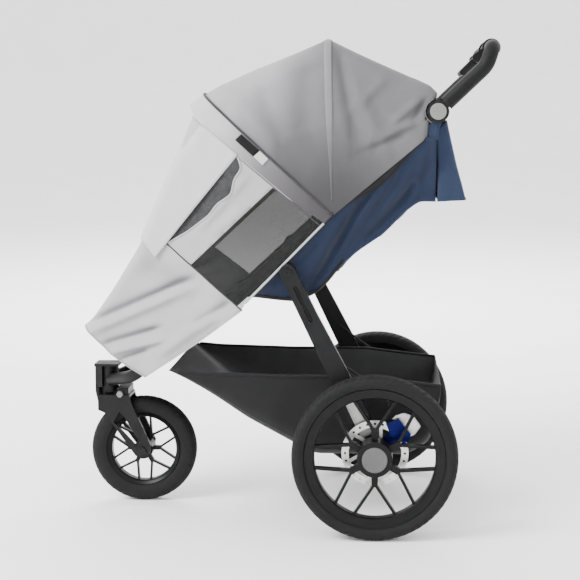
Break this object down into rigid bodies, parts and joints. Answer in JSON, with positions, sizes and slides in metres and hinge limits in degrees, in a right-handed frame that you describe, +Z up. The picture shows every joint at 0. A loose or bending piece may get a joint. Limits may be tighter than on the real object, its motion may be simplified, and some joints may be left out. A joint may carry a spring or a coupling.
{
  "type": "jogging stroller",
  "caption": "Three-wheeled jogging stroller with disc brakes, swivelling front wheel, padded handlebar, reclining seat, basket and full sun cover.",
  "frame": {"origin": "on the ground, below the middle of the stroller's box", "axes": "+X forward to the front wheel, +Y to the child's left, +Z up"},
  "size_m": [1.039, 0.658, 1.1899],
  "materials": {
    "frame_charcoal": "satin",
    "steel": "brushed",
    "black_plastic": "matte",
    "grey_plastic": "satin",
    "rim_black": "satin",
    "tyre_rubber": "matte",
    "brake_blue": "gloss",
    "cable_black": "satin",
    "navy_cloth": "woven",
    "black_webbing": "woven",
    "grip_black": "grained",
    "cover_grey": "woven",
    "window_mesh": "mesh",
    "basket_cloth": "woven"
  },
  "bodies": {
    "main_frame": {"side_tube_left": "frame_charcoal", "side_tube_right": "frame_charcoal", "fold_hubs": "frame_charcoal", "pivot_bolts": "steel", "seat_cross_tube": "frame_charcoal", "footrest": "black_plastic", "hinge_cores": "black_plastic", "front_head": "frame_charcoal", "steering_bearings": "steel", "seat_sides": "navy_cloth", "seat_pad": "navy_cloth", "seat_trim": "black_webbing", "harness_buckle": "black_plastic", "calf_rest": "black_plastic", "hood_bow_front": "black_plastic", "hood_bow_middle": "black_plastic", "hood_bow_rear": "black_plastic", "hood_brackets": "black_plastic", "sun_cover_hood": "cover_grey", "sun_cover_skirt": "cover_grey", "mesh_windows": "window_mesh", "window_flap": "cover_grey", "basket": "basket_cloth", "rear_flap": "navy_cloth"},
    "seat_back": {"seat_back": "navy_cloth", "harness_webbing": "black_webbing"},
    "handlebar": {"handlebar_tube": "frame_charcoal", "handle_grip": "grip_black", "hinge_shells": "black_plastic", "lever_bracket": "black_plastic", "lever_pin": "steel"},
    "hinge_button_left": {"hinge_button_left": "grey_plastic"},
    "hinge_button_right": {"hinge_button_right": "grey_plastic"},
    "brake_lever": {"brake_lever": "black_plastic"},
    "buckle_button": {"buckle_button": "grey_plastic"},
    "rear_frame": {"leg_left": "frame_charcoal", "leg_right": "frame_charcoal", "rear_cross_tube": "frame_charcoal", "rear_axles": "steel", "calipers": "brake_blue", "brake_cables": "cable_black"},
    "caliper_arm_left": {"caliper_arm_left": "brake_blue"},
    "caliper_arm_right": {"caliper_arm_right": "brake_blue"},
    "brake_pedal": {"brake_pedal": "black_plastic"},
    "rear_wheel_left": {"rear_tyre_left": "tyre_rubber", "rear_rim_left": "rim_black", "hub_cap_left": "grey_plastic", "rear_bearings_left": "steel", "brake_disc_left": "steel"},
    "rear_wheel_right": {"rear_tyre_right": "tyre_rubber", "rear_rim_right": "rim_black", "hub_cap_right": "grey_plastic", "rear_bearings_right": "steel", "brake_disc_right": "steel"},
    "caster": {"fork": "frame_charcoal", "front_axle": "steel"},
    "swivel_lock_button": {"swivel_lock_button": "grey_plastic"},
    "front_wheel": {"front_tyre": "tyre_rubber", "front_rim": "rim_black", "front_bearings": "steel"}
  },
  "joints": [
    {"name": "seat_recline", "type": "hinge", "parent": "main_frame", "child": "seat_back", "pos_m": [-0.104, 0, 0.618], "axis": [0, 1, 0], "range_deg": [0, 20]},
    {"name": "handlebar_tilt", "type": "hinge", "parent": "main_frame", "child": "handlebar", "pos_m": [-0.377, 0, 1.011], "axis": [0, -1, 0], "range_deg": [0, 60]},
    {"name": "hinge_button_left_press", "type": "slide", "parent": "handlebar", "child": "hinge_button_left", "axis": [0, -1, 0], "range_m": [0, 0.004], "stiffness_N_per_m": 900},
    {"name": "hinge_button_right_press", "type": "slide", "parent": "handlebar", "child": "hinge_button_right", "axis": [0, 1, 0], "range_m": [0, 0.004], "stiffness_N_per_m": 900},
    {"name": "brake_lever_squeeze", "type": "hinge", "parent": "handlebar", "child": "brake_lever", "pos_m": [-0.471, 0.115, 1.139], "axis": [0, 1, 0], "range_deg": [0, 25], "stiffness_Nm_per_rad": 4},
    {"name": "buckle_button_press", "type": "slide", "parent": "main_frame", "child": "buckle_button", "axis": [0, 0, -1], "range_m": [0, 0.003], "stiffness_N_per_m": 600},
    {"name": "frame_fold", "type": "hinge", "parent": "main_frame", "child": "rear_frame", "pos_m": [-0.021, 0, 0.63], "axis": [0, -1, 0], "range_deg": [0, 65], "deforming": ["basket"]},
    {"name": "caliper_arm_left_pull", "type": "hinge", "parent": "rear_frame", "child": "caliper_arm_left", "pos_m": [-0.29, 0.237, 0.2575], "axis": [0, 1, 0], "range_deg": [0, 25]},
    {"name": "caliper_arm_right_pull", "type": "hinge", "parent": "rear_frame", "child": "caliper_arm_right", "pos_m": [-0.29, -0.237, 0.2575], "axis": [0, 1, 0], "range_deg": [0, 25]},
    {"name": "brake_pedal_press", "type": "hinge", "parent": "rear_frame", "child": "brake_pedal", "pos_m": [-0.23, -0.216, 0.1975], "axis": [0, -1, 0], "range_deg": [0, 22]},
    {"name": "rear_wheel_left_spin", "type": "hinge", "parent": "rear_frame", "child": "rear_wheel_left", "pos_m": [-0.23, 0.3, 0.1975], "axis": [0, 1, 0], "continuous": true},
    {"name": "rear_wheel_right_spin", "type": "hinge", "parent": "rear_frame", "child": "rear_wheel_right", "pos_m": [-0.23, -0.3, 0.1975], "axis": [0, 1, 0], "continuous": true},
    {"name": "caster_swivel", "type": "hinge", "parent": "main_frame", "child": "caster", "pos_m": [0.465, 0, 0.3], "axis": [0, 0, 1], "continuous": true},
    {"name": "swivel_lock_press", "type": "slide", "parent": "caster", "child": "swivel_lock_button", "axis": [0, -1, 0], "range_m": [0, 0.003], "stiffness_N_per_m": 600},
    {"name": "front_wheel_spin", "type": "hinge", "parent": "caster", "child": "front_wheel", "pos_m": [0.375, 0, 0.137], "axis": [0, 1, 0], "continuous": true}
  ],
  "couplings": [
    {"joint": "caliper_arm_left_pull", "follows": "brake_lever_squeeze", "ratio": 1},
    {"joint": "caliper_arm_right_pull", "follows": "brake_lever_squeeze", "ratio": 1}
  ]
}
